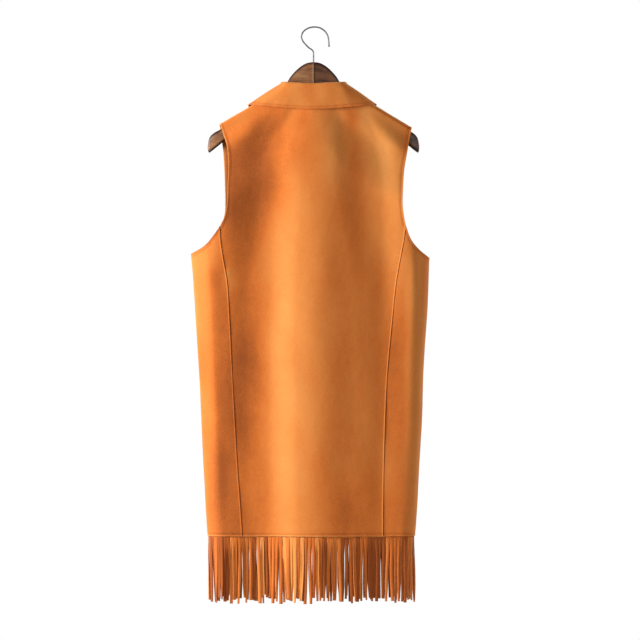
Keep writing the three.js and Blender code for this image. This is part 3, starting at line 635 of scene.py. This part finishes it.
def frontPanel(side):
    sign = signs[side]
    underarm = shoulders[side]["underarm"]
    outer = lambda d: np.where(d < underarm, armholes[side]["front"](d), seamLines[side](d))
    inner = lambda d: sign * frontEdgeOut(d)
    q = stepsAlong(0, frontEdge["width"], 4.2, edgeSteps, edgeSteps) / frontEdge["width"]
    aboveSeam = lambda d: d < shoulderDrop(mix(outer(d), inner(d), q))
    top = meetingDrops(vest["neckPointDrop"] - 1.0, shoulders[side]["tipDrop"] + 1.0, aboveSeam)
    corner = mix(underarm, frontEdge["breakDrop"], q)
    upper = stepsAlong(0, 300, 5.5, bendSteps) / 300
    lower = stepsAlong(0, 555, 6.5, (), hemSteps) / 555
    drop = np.concatenate([
        mix(top, corner, upper[:-1, None]),
        mix(corner, hem, lower[:, None]),
    ])
    x = mix(outer(drop), inner(drop), q)
    seed = 40 if side == "left" else 50
    away, fromInner = besideCurve(x, drop, outer), besideCurve(x, drop, inner)
    onSeam = smooth(underarm - 2, underarm + 6, drop)
    onEdge = smooth(460, 480, drop)
    joined = nap["sideSeam"] * seamRelief(away, drop, 34, True)
    rise = clothRelief(x, drop, seed) + hemRelief(drop, x)
    rise += mix(edgeRelief(away, drop, seed + 2), joined, onSeam)
    rise += edgeRelief(fromInner, drop, seed + 3) * onEdge
    # paler on fold ridges and darker in fold valleys, partly rubbed nap and partly painted shade, with
    # random nap clouds
    tone = foldHeight(frontFolds, x, drop) * 0.03 + waves(x, drop * 0.6, 60, seed + 4) * 0.12
    tone += mix(edgeWearAndShade(away), nap["sideSeam"] * seamHighlightAndShade(away, True), onSeam)
    tone += edgeWearAndShade(fromInner) * onEdge + edgeWearAndShade(hem - drop) * 0.8
    return panelWall("front" + side.capitalize(), 1, x, drop, rise, tone)


# Lapels and collar

lapel = {"width": 85, "length": 300, "roll": 3, "lift": 4.5, "edgeLift": 2.7, "gap": 0.4,
         "rollShare": 0.3}
lapelLines = columnCurves(("at", "rollDrop", "edgeDrop", "edgeOut"), [
    (0 / 7, 177.9, 220.4, 137), (1 / 7, 215, 248, 133), (2 / 7, 255, 285, 121),
    (3 / 7, 300, 325, 104), (4 / 7, 350, 370, 81), (5 / 7, 400, 412, 57), (6 / 7, 440, 446, 36),
    (7 / 7, frontEdge["breakDrop"] - 2, frontEdge["breakDrop"] - 1, 21),
])


def lapelPiece(side):
    sign = signs[side]
    rollShare = lapel["rollShare"]
    v = (stepsAlong(0, lapel["length"], 3.6, edgeSteps) / lapel["length"])[:, None]
    flat = stepsAlong(0, lapel["width"], 3, (), edgeSteps) / lapel["width"]
    q = np.concatenate([np.linspace(0, rollShare, 15)[:-1], mix(rollShare, 1, flat)])[None, :]
    rollDrop = lapelLines["rollDrop"](v)
    start = frontEdgeOut(rollDrop) - lapel["gap"]
    turn = np.minimum(q / rollShare, 1) * np.pi
    rollOut = start - lapel["roll"] * np.sin(turn)
    rollY = clothY(1, sign * start, rollDrop) - clothThickness + lapel["roll"] * (1 - np.cos(turn))
    share = np.maximum((q - rollShare) / (1 - rollShare), 0)
    flatOut = mix(start, lapelLines["edgeOut"](v), share)
    drop = mix(rollDrop, lapelLines["edgeDrop"](v), share)
    lift = mix(lapel["lift"], lapel["edgeLift"], smooth(0, 0.6, share))
    onRoll = q < rollShare
    out = np.where(onRoll, rollOut, flatOut)
    y = np.where(onRoll, rollY, clothY(1, sign * flatOut, drop) + lift)
    out, y, drop = np.broadcast_arrays(out, y, drop)
    points = np.stack([sign * out, y, -drop], axis=-1)
    normals = gridNormals(points, (0, -1, 0))
    fromEdge = (1 - share) * (lapelLines["edgeOut"](v) - start)
    fromTop = edgeRelief(v * lapel["length"] * 0.9, out, 72) * (share > 0)
    rise = np.where(onRoll, 0, edgeRelief(fromEdge, -drop, 71) + fromTop)
    rise += clothRelief(out, drop, 73) * 0.5
    tone = edgeWearAndShade(fromEdge) + waves(out, drop * 0.6, 50, 74) * 0.12
    outer = points + normals * rise[..., None]
    piece = addWall("lapel" + side.capitalize(), outer, normals, clothLooks, tone)
    stitched = 1 - (1 - rollShare) * relief["stitchIn"] / lapel["width"]
    column = int(np.argmin(np.abs(q[0] - stitched)))
    return piece, [(points[4:, column], normals[4:, column])]


collar = {"roll": 3, "lean": -3.2, "length": 560, "rows": 220}
collarRows = [  # foot, roll's top, way the roll turns, middle and edge of the fall
    ((0, -6.9, 137.3), (0, -9.9, 112.8), (0, -1), (0, -13.4, 138), (0, -13.8, 163.6)),
    ((30, -6, 136), (31, -9.2, 111.4), (0.1, -1), (36, -12.4, 137), (42, -12.2, 162)),
    ((56, -3.8, 130.9), (52, -6.6, 110.2), (0.45, -0.9), (66, -9.4, 135), (80, -8.6, 158.6)),
    ((69, 0.2, 126.4), (59.5, -2, 109.8), (0.9, -0.45), (84, -3.6, 132.6), (106, -3.9, 156.4)),
    ((72, 5.8, 124.2), (62.5, 4.4, 109.9), (1, 0), (94, 6, 131.2), (127, 10.6, 154)),
    ((71.6, 12.2, 128), (61.5, 12.4, 113.4), (0.95, 0.3), (94, 15.4, 136.5), (128, 20.2, 158.5)),
    ((69, 14.3, 141), (59, 15.6, 126), (0.8, 0.6), (93, 19.4, 148), (127.5, 25.2, 167)),
    ((63.4, 15.5, 159), (55, 16.7, 149), (0.6, 0.8), (92, 21, 170), (124.5, 26.8, 182)),
    ((58.6, 16.1, 177.5), (51.5, 16.9, 170), (0.5, 0.87), (94, 21.2, 195.2), (120, 26.2, 190)),
]


def splineThrough(controls, count, knots=None):  # a curve through rows of points
    controls = np.asarray(controls, float)
    knots = lengthsAlong(controls, 0.5) if knots is None else knots
    places = np.linspace(0, knots[-1], count) if np.isscalar(count) else count
    return np.stack([smoothCurve(knots, column)(places) for column in controls.T], axis=-1)


def collarPiece():
    stations = [(row, -1) for row in collarRows[::-1]] + [(row, 1) for row in collarRows[1:]]
    rows = collar["rows"]

    def line(part):
        lean = lambda row: collar["lean"] * (row[part][0] - row[0][0]) / vest["neckHalf"]
        return [(sign * row[part][0] + lean(row), row[part][1], -row[part][2])
                for row, sign in stations]
    edgeKnots = lengthsAlong(line(4), 0.5)
    foot, roll, middle, edge = (splineThrough(line(i), rows, edgeKnots) for i in (0, 1, 3, 4))
    turns = [(sign * row[2][0], row[2][1], 0) for row, sign in stations]
    outward = unit(splineThrough(turns, rows, edgeKnots)) * collar["roll"]
    up = np.array((0, 0, collar["roll"]))
    bend = [roll - up - math.cos(a) * outward + math.sin(a) * up for a in np.linspace(0, math.pi, 9)]
    stand, fall = (foot + bend[0]) / 2, mix(bend[-1], middle, 0.5)
    sections = np.stack([foot, stand, *bend, fall, middle, edge], axis=1)
    reach = np.concatenate([[0], np.cumsum([14, 14] + [1.2] * 8 + [13, 13, 27])])
    across = stepsAlong(0, reach[-1], 1.6, (), edgeSteps)
    points = np.stack([splineThrough(section, across, reach) for section in sections])
    normals = gridNormals(points, (0, 0, -1))
    fromEdge = reach[-1] - across
    along = np.linspace(0, collar["length"], rows)[:, None]
    fromEnd = np.minimum(along, collar["length"] - along)
    rise = edgeRelief(fromEdge, along, 81) + waves(along, across, 58, 82) * 0.5
    rise = (rise + edgeRelief(fromEnd, across[None, :], 83)) * smooth(40, 52, across)  # on the fall
    outer = points + normals * (clothThickness + rise)[..., None]
    # painted shade: a dark line along the fall's lower edge
    tone = edgeWearAndShade(fromEdge, -0.5) + waves(along, across * 0.6, 50, 84) * 0.14
    piece = addWall("collarCloth", outer, normals, clothLooks, tone)
    column = int(np.argmin(np.abs(fromEdge - relief["stitchIn"])))
    return piece, [(outer[3:-3, column], normals[3:-3, column])]


backCloth = backPanel()
backSides = {side: backSide(side) for side in shoulders}
fronts = {side: frontPanel(side) for side in shoulders}
lapels, lapelStitches = {}, []
for side in shoulders:
    lapels[side], rows = lapelPiece(side)
    lapelStitches += rows
collarCloth, collarStitches = collarPiece()
print("panels, lapels and collar made")


# Stitches: short rounded lengths of thread, laid in their grooves

stitch = {"pitch": 3.3, "length": 2.5, "radius": 0.3, "sides": 6, "sunk": 0.12, "bulge": 0.2}
stitchRings = [  # place along the stitch, thickness and rise, each as a share
    (-0.5, 0.35, -0.25), (-0.36, 0.9, 0), (0, 1.05, 0.12), (0.36, 0.9, 0), (0.5, 0.35, -0.25),
]


def stitchRows(name, rows):
    angles = np.arange(stitch["sides"]) * 2 * np.pi / stitch["sides"]
    points, faces = [], []
    for places, normals in rows:
        lengths = lengthsAlong(places)
        for spot in np.arange(stitch["pitch"], lengths[-1] - stitch["pitch"], stitch["pitch"]):
            middle = placeAt(spot, lengths, places)
            along = unit(placeAt(spot + 0.8, lengths, places) - placeAt(spot - 0.8, lengths, places))
            up = unit(placeAt(spot, lengths, normals))
            side = np.cross(up, along)
            faces += tubeFaces(len(stitchRings), stitch["sides"], len(points))
            spokes = [side * math.cos(angle) + up * math.sin(angle) for angle in angles]
            for reach, size, lift in stitchRings:
                rise = stitch["sunk"] + stitch["bulge"] * lift
                centre = middle + along * stitch["length"] * reach + up * rise
                points += [centre + spoke * stitch["radius"] * size for spoke in spokes]
    return addMesh(name, points, faces, [threadLook])


def sewOnCloth(facing, x, drop):
    places = clothGrid(facing, x, drop)
    across, down = (clothGrid(facing, x + a, drop + b) - clothGrid(facing, x - a, drop - b)
                    for a, b in ((0.5, 0), (0, 0.5)))
    normals = unit(np.cross(across, down))
    normals *= (np.sign(normals[:, 1]) * facing)[:, None]
    return places + normals * relief["stitchDepth"], normals


def armholeStitches(side, facing):  # a row inside the armhole's edge, square to it
    drop = np.linspace(shoulders[side]["tipDrop"] + 6, shoulders[side]["underarm"] - 1.5, 160)
    x = armholes[side]["back" if facing < 0 else "front"](drop)
    inset = -signs[side] * relief["stitchIn"]
    dx, dz = np.gradient(x), np.gradient(drop)
    size = np.hypot(dx, dz)
    return sewOnCloth(facing, x + inset * dz / size, drop - inset * dx / size)


def hemStitches(facing, start, end, count):
    return sewOnCloth(facing, np.linspace(start, end, count), hem - relief["hemStitch"])


def backStitches():
    rows = [armholeStitches(side, -1) for side in shoulders]
    left, right = (float(seamLines[side](hem - relief["hemStitch"])) for side in shoulders)
    return stitchRows("threadBack", rows + [hemStitches(-1, left + 4, right - 4, 260)])


def frontStitches(side):
    sign = signs[side]
    low = hem - relief["hemStitch"]
    drop = np.linspace(frontEdge["breakDrop"] + 14, hem - 3, 200)
    edgeRow = sewOnCloth(1, sign * (frontEdgeOut(drop) + relief["stitchIn"]), drop)
    hemRow = hemStitches(1, sign * (frontEdgeOut(low) + 3), seamLines[side](low) - sign * 4, 140)
    return stitchRows("threadFront" + side.capitalize(), [armholeStitches(side, 1), edgeRow, hemRow])


threads = {"back": backStitches(), "collar": stitchRows("threadCollar", collarStitches),
           "lapels": stitchRows("threadLapels", lapelStitches),
           **{side: frontStitches(side) for side in shoulders}}
print("stitches sewn")


# Fringe: a strip inside the hem, cut into strands that curl and lean together

fringe = {"inside": 2.0, "thickness": 1.4, "above": 10, "below": 1.6, "tip": 1150, "margin": 2.5,
          "pitch": 7.5, "root": 7.3, "width": 7.6, "unevenWidth": 0.8, "rings": 24, "uneven": 3.5,
          "short": 9, "shortShare": 0.3, "swing": 1.6, "clumpSwing": 3, "gather": 0.95,
          "gatherFront": 0.25, "stray": 1.1, "endLean": 7, "endReach": 4, "layer": 1.2,
          "gutter": 2.5, "twist": 0.5, "calmShare": 0.9, "middle": -22, "middleHalf": 48}
clumps = [5, 7, 4, 6, 8, 5, 6, 4, 7, 5]  # strands that lean together, over and over
# painted light and shade along the back fringe, by x
fringeShade = smoothCurve((-210, -150, -90, -20, 30, 110, 200),
                          (-0.4, -0.3, 0.05, 0.15, -0.5, -0.5, -0.25))


def scatter(i, salt):
    return math.sin(i * i * 1.7 + i * 12.99 + salt * 78.23)


def hemPath(facing, start, end):
    x = mix(start, end, (1 - np.cos(np.linspace(0, np.pi, 900))) / 2)
    places = clothGrid(facing, x, hem)
    places[:, 2] = 0
    lengths = lengthsAlong(places)
    along = unit(np.gradient(places, axis=0))
    inward = np.stack([-along[:, 1], along[:, 0], along[:, 0] * 0], axis=-1)
    inward *= np.where(inward[:, 1:2] * facing > 0, -1, 1)

    def at(s):
        ways = (unit(placeAt(s, lengths, way)) for way in (along, inward))
        return placeAt(s, lengths, places), *ways
    return lengths[-1], at


def clumpLean(i, count, salt, gather):
    first, clump = 0, salt
    sizes = clumps * 3
    while first + sizes[clump] <= i:
        first += sizes[clump]
        clump += 1
    size = min(sizes[clump], count - first)
    fromMiddle = i - first - (size - 1) / 2
    return scatter(clump, 3) * 0.9 - fromMiddle * gather, clump


def fringePiece(name, facing, start, end, salt):
    total, at = hemPath(facing, start, end)
    span = total - 2 * fringe["margin"]
    count = int(span / fringe["pitch"])
    rng = random.Random(900 + salt)
    points, faces, looks, tones = [], [], [], []
    root = hem + fringe["below"]
    gather = fringe["gather" if facing < 0 else "gatherFront"]

    def tube(rings, edgeSides, inSides=(), tone=0.0):
        sides = len(rings[0])
        faces.extend(tubeFaces(len(rings), sides, len(points)))
        around = [1 if k in edgeSides else 2 if k in inSides else 0 for k in range(sides)]
        looks.extend(around * (len(rings) - 1) + [1, 1])
        for ring in rings if facing < 0 else [ring[::-1] for ring in rings]:
            points.extend(ring)
            tones.extend([tone] * sides)

    strip = []
    top, foot = fringe["above"] - hem, -root - 0.6
    for s in np.linspace(fringe["margin"], total - fringe["margin"], 260):
        place, along, inward = at(s)
        near = place + inward * fringe["inside"]
        far = near + inward * fringe["thickness"]
        corners = ((near, top), (far, top), (far, foot), (near, foot))
        strip.append([spot + (0, 0, z) for spot, z in corners])
    tube(strip, (0, 2))

    for i in range(count):
        lean, clump = clumpLean(i, count, salt, gather)
        place, along, inward = at(fringe["margin"] + (i + 0.5) * span / count)
        seed = i + salt * 50
        swing = fringe["swing"] * scatter(seed, 1) + fringe["clumpSwing"] * scatter(clump, 5)
        swing += fringe["layer"] * (1 if i % 2 else -1)  # neighbours pass before each other
        lean += rng.gauss(0, fringe["stray"])
        lean += fringe["endLean"] * math.exp(-i / fringe["endReach"])  # the outer strands lean in
        if facing < 0:
            lean -= fringe["endLean"] * math.exp(-(count - 1 - i) / fringe["endReach"])
        end = fringe["tip"] + fringe["uneven"] * scatter(seed, 4)
        end -= (rng.uniform(0.3, 1) * fringe["short"] if rng.random() < fringe["shortShare"] else 0)
        broad = fringe["width"] + rng.uniform(-1, 0.6) * fringe["unevenWidth"]
        calm = rng.random() < fringe["calmShare"]
        twist = rng.gauss(0, fringe["twist"]) if calm else rng.choice((-1, 1)) * rng.uniform(1.5, 2.8)
        curl = rng.uniform(0.2, 1) * rng.choice((-1, 1))
        # each strand's tone differs at random, its range reaching deep as painted shade for strands in
        # the shadow of others
        tone = rng.uniform(-1.2, 0.4)
        if facing < 0:  # nearer the middle the strands hang flatter and closer, and are painted paler, as if in more light
            near = hill(place[0], fringe["middle"], fringe["middleHalf"])
            lean, twist = lean * (1 - 0.45 * near), twist * (1 - 0.65 * near)
            broad, tone = broad + 0.6 * near, min(tone + 0.3 * near, 0.4) + float(fringeShade(place[0]))
        wobble, phase = rng.uniform(0.3, 0.9), rng.uniform(0, 6.3)
        point = rng.uniform(0.45, 1)  # how much of its width is left at the tip
        rings = []
        for share in np.arange(fringe["rings"] + 1) / fringe["rings"]:
            drift = lean * share ** 1.3 + wobble * math.sin(phase + share * 5) * smooth(0, 0.4, share)
            centre = place + inward * (fringe["inside"] + fringe["thickness"] / 2 + swing * share)
            centre += along * drift
            centre[2] = -mix(root - 0.5, end, share)
            angle = twist * share ** 1.2 + 0.15 * math.sin(phase * 2 + share * 7) * share
            wide = along * math.cos(angle) + inward * math.sin(angle)
            thick = inward * math.cos(angle) - along * math.sin(angle)
            width = mix(fringe["root"], broad, smooth(0, 0.12, share))
            width *= mix(1, point, smooth(0.72, 1, share))
            bow = curl * smooth(0.02, 0.3, share)  # the strand's section bends like a gutter
            ring = []
            for face in (-1, 1):
                for out in (-1, -0.5, 0, 0.5, 1)[::-face]:
                    across = out * width / 2 * (1 - 0.12 * abs(bow))
                    depth = bow * (out * out - 0.4) * fringe["gutter"] + face * fringe["thickness"] / 2
                    ring.append(centre + wide * across + thick * depth)
            rings.append(ring)
        # inner faces take the darker reverse-side look, painted shade so that the gaps between strands
        # read dark
        tube(rings, (4, 9), range(5, 9) if facing < 0 else range(4), tone)
    flat = [k for k, look in enumerate(looks) if look == 1]
    piece = addMesh(name, points, faces, panelLooks, looks, flat=flat)
    setTones(piece, tones)
    return piece


fringes = {"back": fringePiece("fringeBack", -1, seamLines["left"](hem), seamLines["right"](hem), 0)}
for side, salt in (("left", 1), ("right", 2)):
    inner = signs[side] * frontEdgeOut(hem)
    name = "fringeFront" + side.capitalize()
    fringes[side] = fringePiece(name, 1, seamLines[side](hem), inner, salt)
print("fringe cut")


# The hanger: two dark wooden arms and a plated hook

woodLook = {"dark": (0.05, 0.018, 0.009), "mid": (0.2, 0.08, 0.032), "pale": (0.4, 0.2, 0.085),
            "rim": 5.0, "rimDarkening": -0.4, "jointLightAndShade": 0.22, "leftPaintedLight": 0.12, "rightPaintedShade": -0.04}


def woodRecipe(name, lift):
    wood = Recipe(name, Specular_IOR_Level=0.3, Coat_Roughness=0.25)
    grain = wood.noise(26, detail=5, stretch=(0.35, 2.2, 2.2), roughness=0.62)
    pores = wood.noise(210, detail=2, stretch=(0.12, 1.5, 1.5))
    clouds = wood.noise(24, detail=2, lift=2.0)
    # lift is painted light and shade: the left arm's copy is paler and the right arm's darker
    shade = grain * 0.6 + clouds * 0.5 - pores * 0.2 + lift + wood.tone()
    wood.set("Base Color", wood.ramp(
        shade, (0.28, woodLook["dark"]), (0.5, woodLook["mid"]), (0.74, woodLook["pale"])))
    wood.set("Roughness", pores * 0.2 + 0.34)
    wood.set("Coat Weight", 0.16 - pores * 0.1)
    wood.set("Normal", wood.bump(pores * 0.6 + grain * 0.4, 0.25, 0.0004))
    return wood.material


def hangerArm(side, name, lift):
    sign = signs[side]
    stations = stepsAlong(0.03, hanger["end"], 2.4, (0.35, 0.8, 2), (0.15, 0.5, 1, 1.7, 2.5, 3.5, 5))
    sides = 36
    angles = 2 * np.pi * (np.arange(sides) + 0.5) / sides
    face = np.sign(np.cos(angles)) * np.minimum(1, np.abs(np.cos(angles)) ** 0.6 * 1.05)
    rise = np.sign(np.sin(angles)) * np.abs(np.sin(angles)) ** 0.7
    rings, tones = [], []
    for out in stations:
        neck = mix(hanger["middleThickness"], hanger["neckThickness"], smooth(-20, 34, out))
        thickness = mix(neck, hanger["thickness"], smooth(66, 104, out))
        half = thickness / 2 - hanger["tipTaper"] * smooth(196, hanger["reach"], out)
        top, bottom = armLines["top"](out), armLines["bottom"](out)
        nearTip = max(0.0, 1 - (hanger["end"] - out) / 3.5)
        shrink = math.sqrt(max(1 - nearTip ** 2, 0.02)) - 0.01 * max(0.0, 1 - out / 0.6)
        tall = (bottom - top) / 2 * shrink
        y = armY(out) + half * shrink * face
        z = tall * rise - (top + bottom) / 2
        rings.append(np.stack([np.full(sides, sign * out), y, z], axis=-1))
        rim = np.exp(-(tall * (1 - np.abs(rise)) / woodLook["rim"]) ** 4)
        # painted highlight on the left arm beside the joint, and painted shade on the right arm
        tones.append(woodLook["rimDarkening"] * rim - sign * woodLook["jointLightAndShade"] * hill(out, 0, 2))
    arm = addLoft("hangerArm" + side.capitalize(), rings, [woodRecipe(name, lift)])
    setTones(arm, tones)  # darker along the arm's rounded edges
    return arm


hook = {"radius": 1.5, "tipRadius": 1.9, "sides": 20, "dark": (0.14, 0.14, 0.15),
        "pale": (0.22, 0.22, 0.23)}
hookPath = [  # x and drop, from the free end over the top and down into the wood
    (28, 36.6), (27.5, 26), (26.3, 18.6), (23.6, 12), (18.4, 5.6), (10, 0.4),
    (0, -hook["radius"]), (-10.5, -0.2), (-19.5, 4.2), (-24.8, 10), (-27.2, 17.4), (-26, 23.6),
    (-22.2, 29.8), (-13, 39.6), (-6.6, 44), (-3.4, 48.8), (hangerX, 56),
    (hangerX, hanger["humpDrop"] - 0.3),
]


def steelRecipe():
    steel = Recipe("hookSteel", Metallic=0.7)
    scuff = steel.noise(160, detail=3)
    steel.set("Base Color", steel.ramp(scuff, (0.3, hook["dark"]), (0.7, hook["pale"])))
    steel.set("Roughness", scuff * 0.2 + 0.45)
    return steel.material


def hangerHook():
    places = splineThrough([(x, 0, -drop) for x, drop in hookPath], 240)
    along = unit(np.gradient(places, axis=0))
    sizes = mix(hook["tipRadius"], hook["radius"], smooth(1, 3.4, lengthsAlong(places)))
    angles = 2 * np.pi * np.arange(hook["sides"]) / hook["sides"]
    across = np.array((0, 1.0, 0))

    def ring(centre, way, size):
        side = np.cross(way, across)
        return [centre + (across * math.cos(a) + side * math.sin(a)) * size for a in angles]
    rings = []
    for turn in np.linspace(1.45, 0, 7)[:-1]:  # a rounded free end
        back = hook["tipRadius"] * math.sin(turn)
        rings.append(ring(places[0] - along[0] * back, along[0], hook["tipRadius"] * math.cos(turn)))
    rings += [ring(place, way, size) for place, way, size in zip(places, along, sizes)]
    return addLoft("hook", rings, [steelRecipe()], shift=0)


# two copies of one wood: the left arm painted lighter and the right darker, as the hump's lit and
# shaded faces
arms = {"left": hangerArm("left", "hangerWoodPaintedLight", woodLook["leftPaintedLight"]),
        "right": hangerArm("right", "hangerWoodPaintedShade", woodLook["rightPaintedShade"])}
hookPiece = hangerHook()
print("hanger made")


# Which solids the pieces stand for; those solids are hidden

dressed = {"back_panel": backCloth, "collar": collarCloth, "fringe_back": fringes["back"],
           "hanger_hook": hookPiece}
for side in shoulders:
    dressed["back_side_" + side] = backSides[side]
    dressed["front_" + side] = fronts[side]
    dressed["lapel_" + side] = lapels[side]
    dressed["fringe_front_" + side] = fringes[side]
    dressed["hanger_arm_" + side] = arms[side]
for node, piece in dressed.items():
    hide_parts(node)
    "hanger_wood" if "arm" in node else "hook_steel" if "hook" in node else "suede"


# Floor, light and camera

studio = {"floorDrop": 1.46, "floorRadius": 0.85, "floorSides": 96, "floor": (0.8, 0.8, 0.8),
          "floorPale": (0.84, 0.84, 0.84), "skyCamera": 1.0, "skyLeft": 0.32, "skyRight": 0.17}
lights = {  # place, height that it looks at, width and power
    "window": ((-2.7, -0.95, -0.1), -0.6, 1.0, 141),
    "fill": ((1.9, -2.2, 0.1), -0.6, 1.4, 18),
    "back": ((2.5, 1.5, 0.3), -0.55, 1.2, 46),
}
camera = {"x": 0.010, "z": -0.5864, "away": 9.0, "lens": 252.3, "sensor": 36}


def floorDisc():
    turns = np.arange(studio["floorSides"]) * 2 * math.pi / studio["floorSides"]
    ring = [(studio["floorRadius"] * math.cos(turn), studio["floorRadius"] * math.sin(turn),
             -studio["floorDrop"]) for turn in turns]
    mesh = bpy.data.meshes.new("floor")
    mesh.from_pydata(ring, [], [tuple(range(len(ring)))])
    paint = Recipe("floorPaint", Roughness=0.9)
    paint.set("Base Color", paint.ramp(
        paint.noise(3), (0.3, studio["floor"]), (0.7, studio["floorPale"])))
    mesh.materials.append(paint.material)
    addObject("floor", mesh)


def softSky():  # white to the eye, and brighter from the left as light
    world = bpy.data.worlds.new("softSky")
    bpy.context.scene.world = world
    world.use_nodes = True
    sky = Nodes(world.node_tree)
    background = sky.tree.nodes["Background"]
    direction = sky.node("ShaderNodeTexCoord", out="Generated")
    across = sky.node("ShaderNodeSeparateXYZ", {}, {0: direction}, out="X")
    fall = sky.node("ShaderNodeMapRange", {"interpolation_type": "SMOOTHSTEP"}, {
        "Value": across, "From Min": -1, "From Max": 1,
        "To Min": studio["skyLeft"], "To Max": studio["skyRight"]})
    seen = sky.node("ShaderNodeLightPath", out="Is Camera Ray")
    strength = sky.node("ShaderNodeMix", {}, {0: seen, 2: fall, 3: studio["skyCamera"]})
    sky.plug(background.inputs["Color"], (1, 1, 1, 1))
    sky.plug(background.inputs["Strength"], strength)


def areaLight(name, place, aimHeight, width, power):
    lamp = bpy.data.lights.new(name, "AREA")
    lamp.shape = "SQUARE"
    lamp.size = width
    lamp.energy = power
    holder = addObject(name, lamp)
    holder.location = place
    aim = Vector((0, 0, aimHeight)) - Vector(place)
    holder.rotation_euler = aim.to_track_quat("-Z", "Y").to_euler()


eye = bpy.data.cameras.new("camera")
eye.lens = camera["lens"]
eye.sensor_width = camera["sensor"]
eyeHolder = addObject("camera", eye)
eyeHolder.location = (camera["x"], -camera["away"], camera["z"])
eyeHolder.rotation_euler = (math.pi / 2, 0, 0)
bpy.context.scene.camera = eyeHolder
bpy.context.scene.view_settings.view_transform = "Standard"

floorDisc()
softSky()
for name, settings in lights.items():
    areaLight(name, *settings)
print("studio lit")
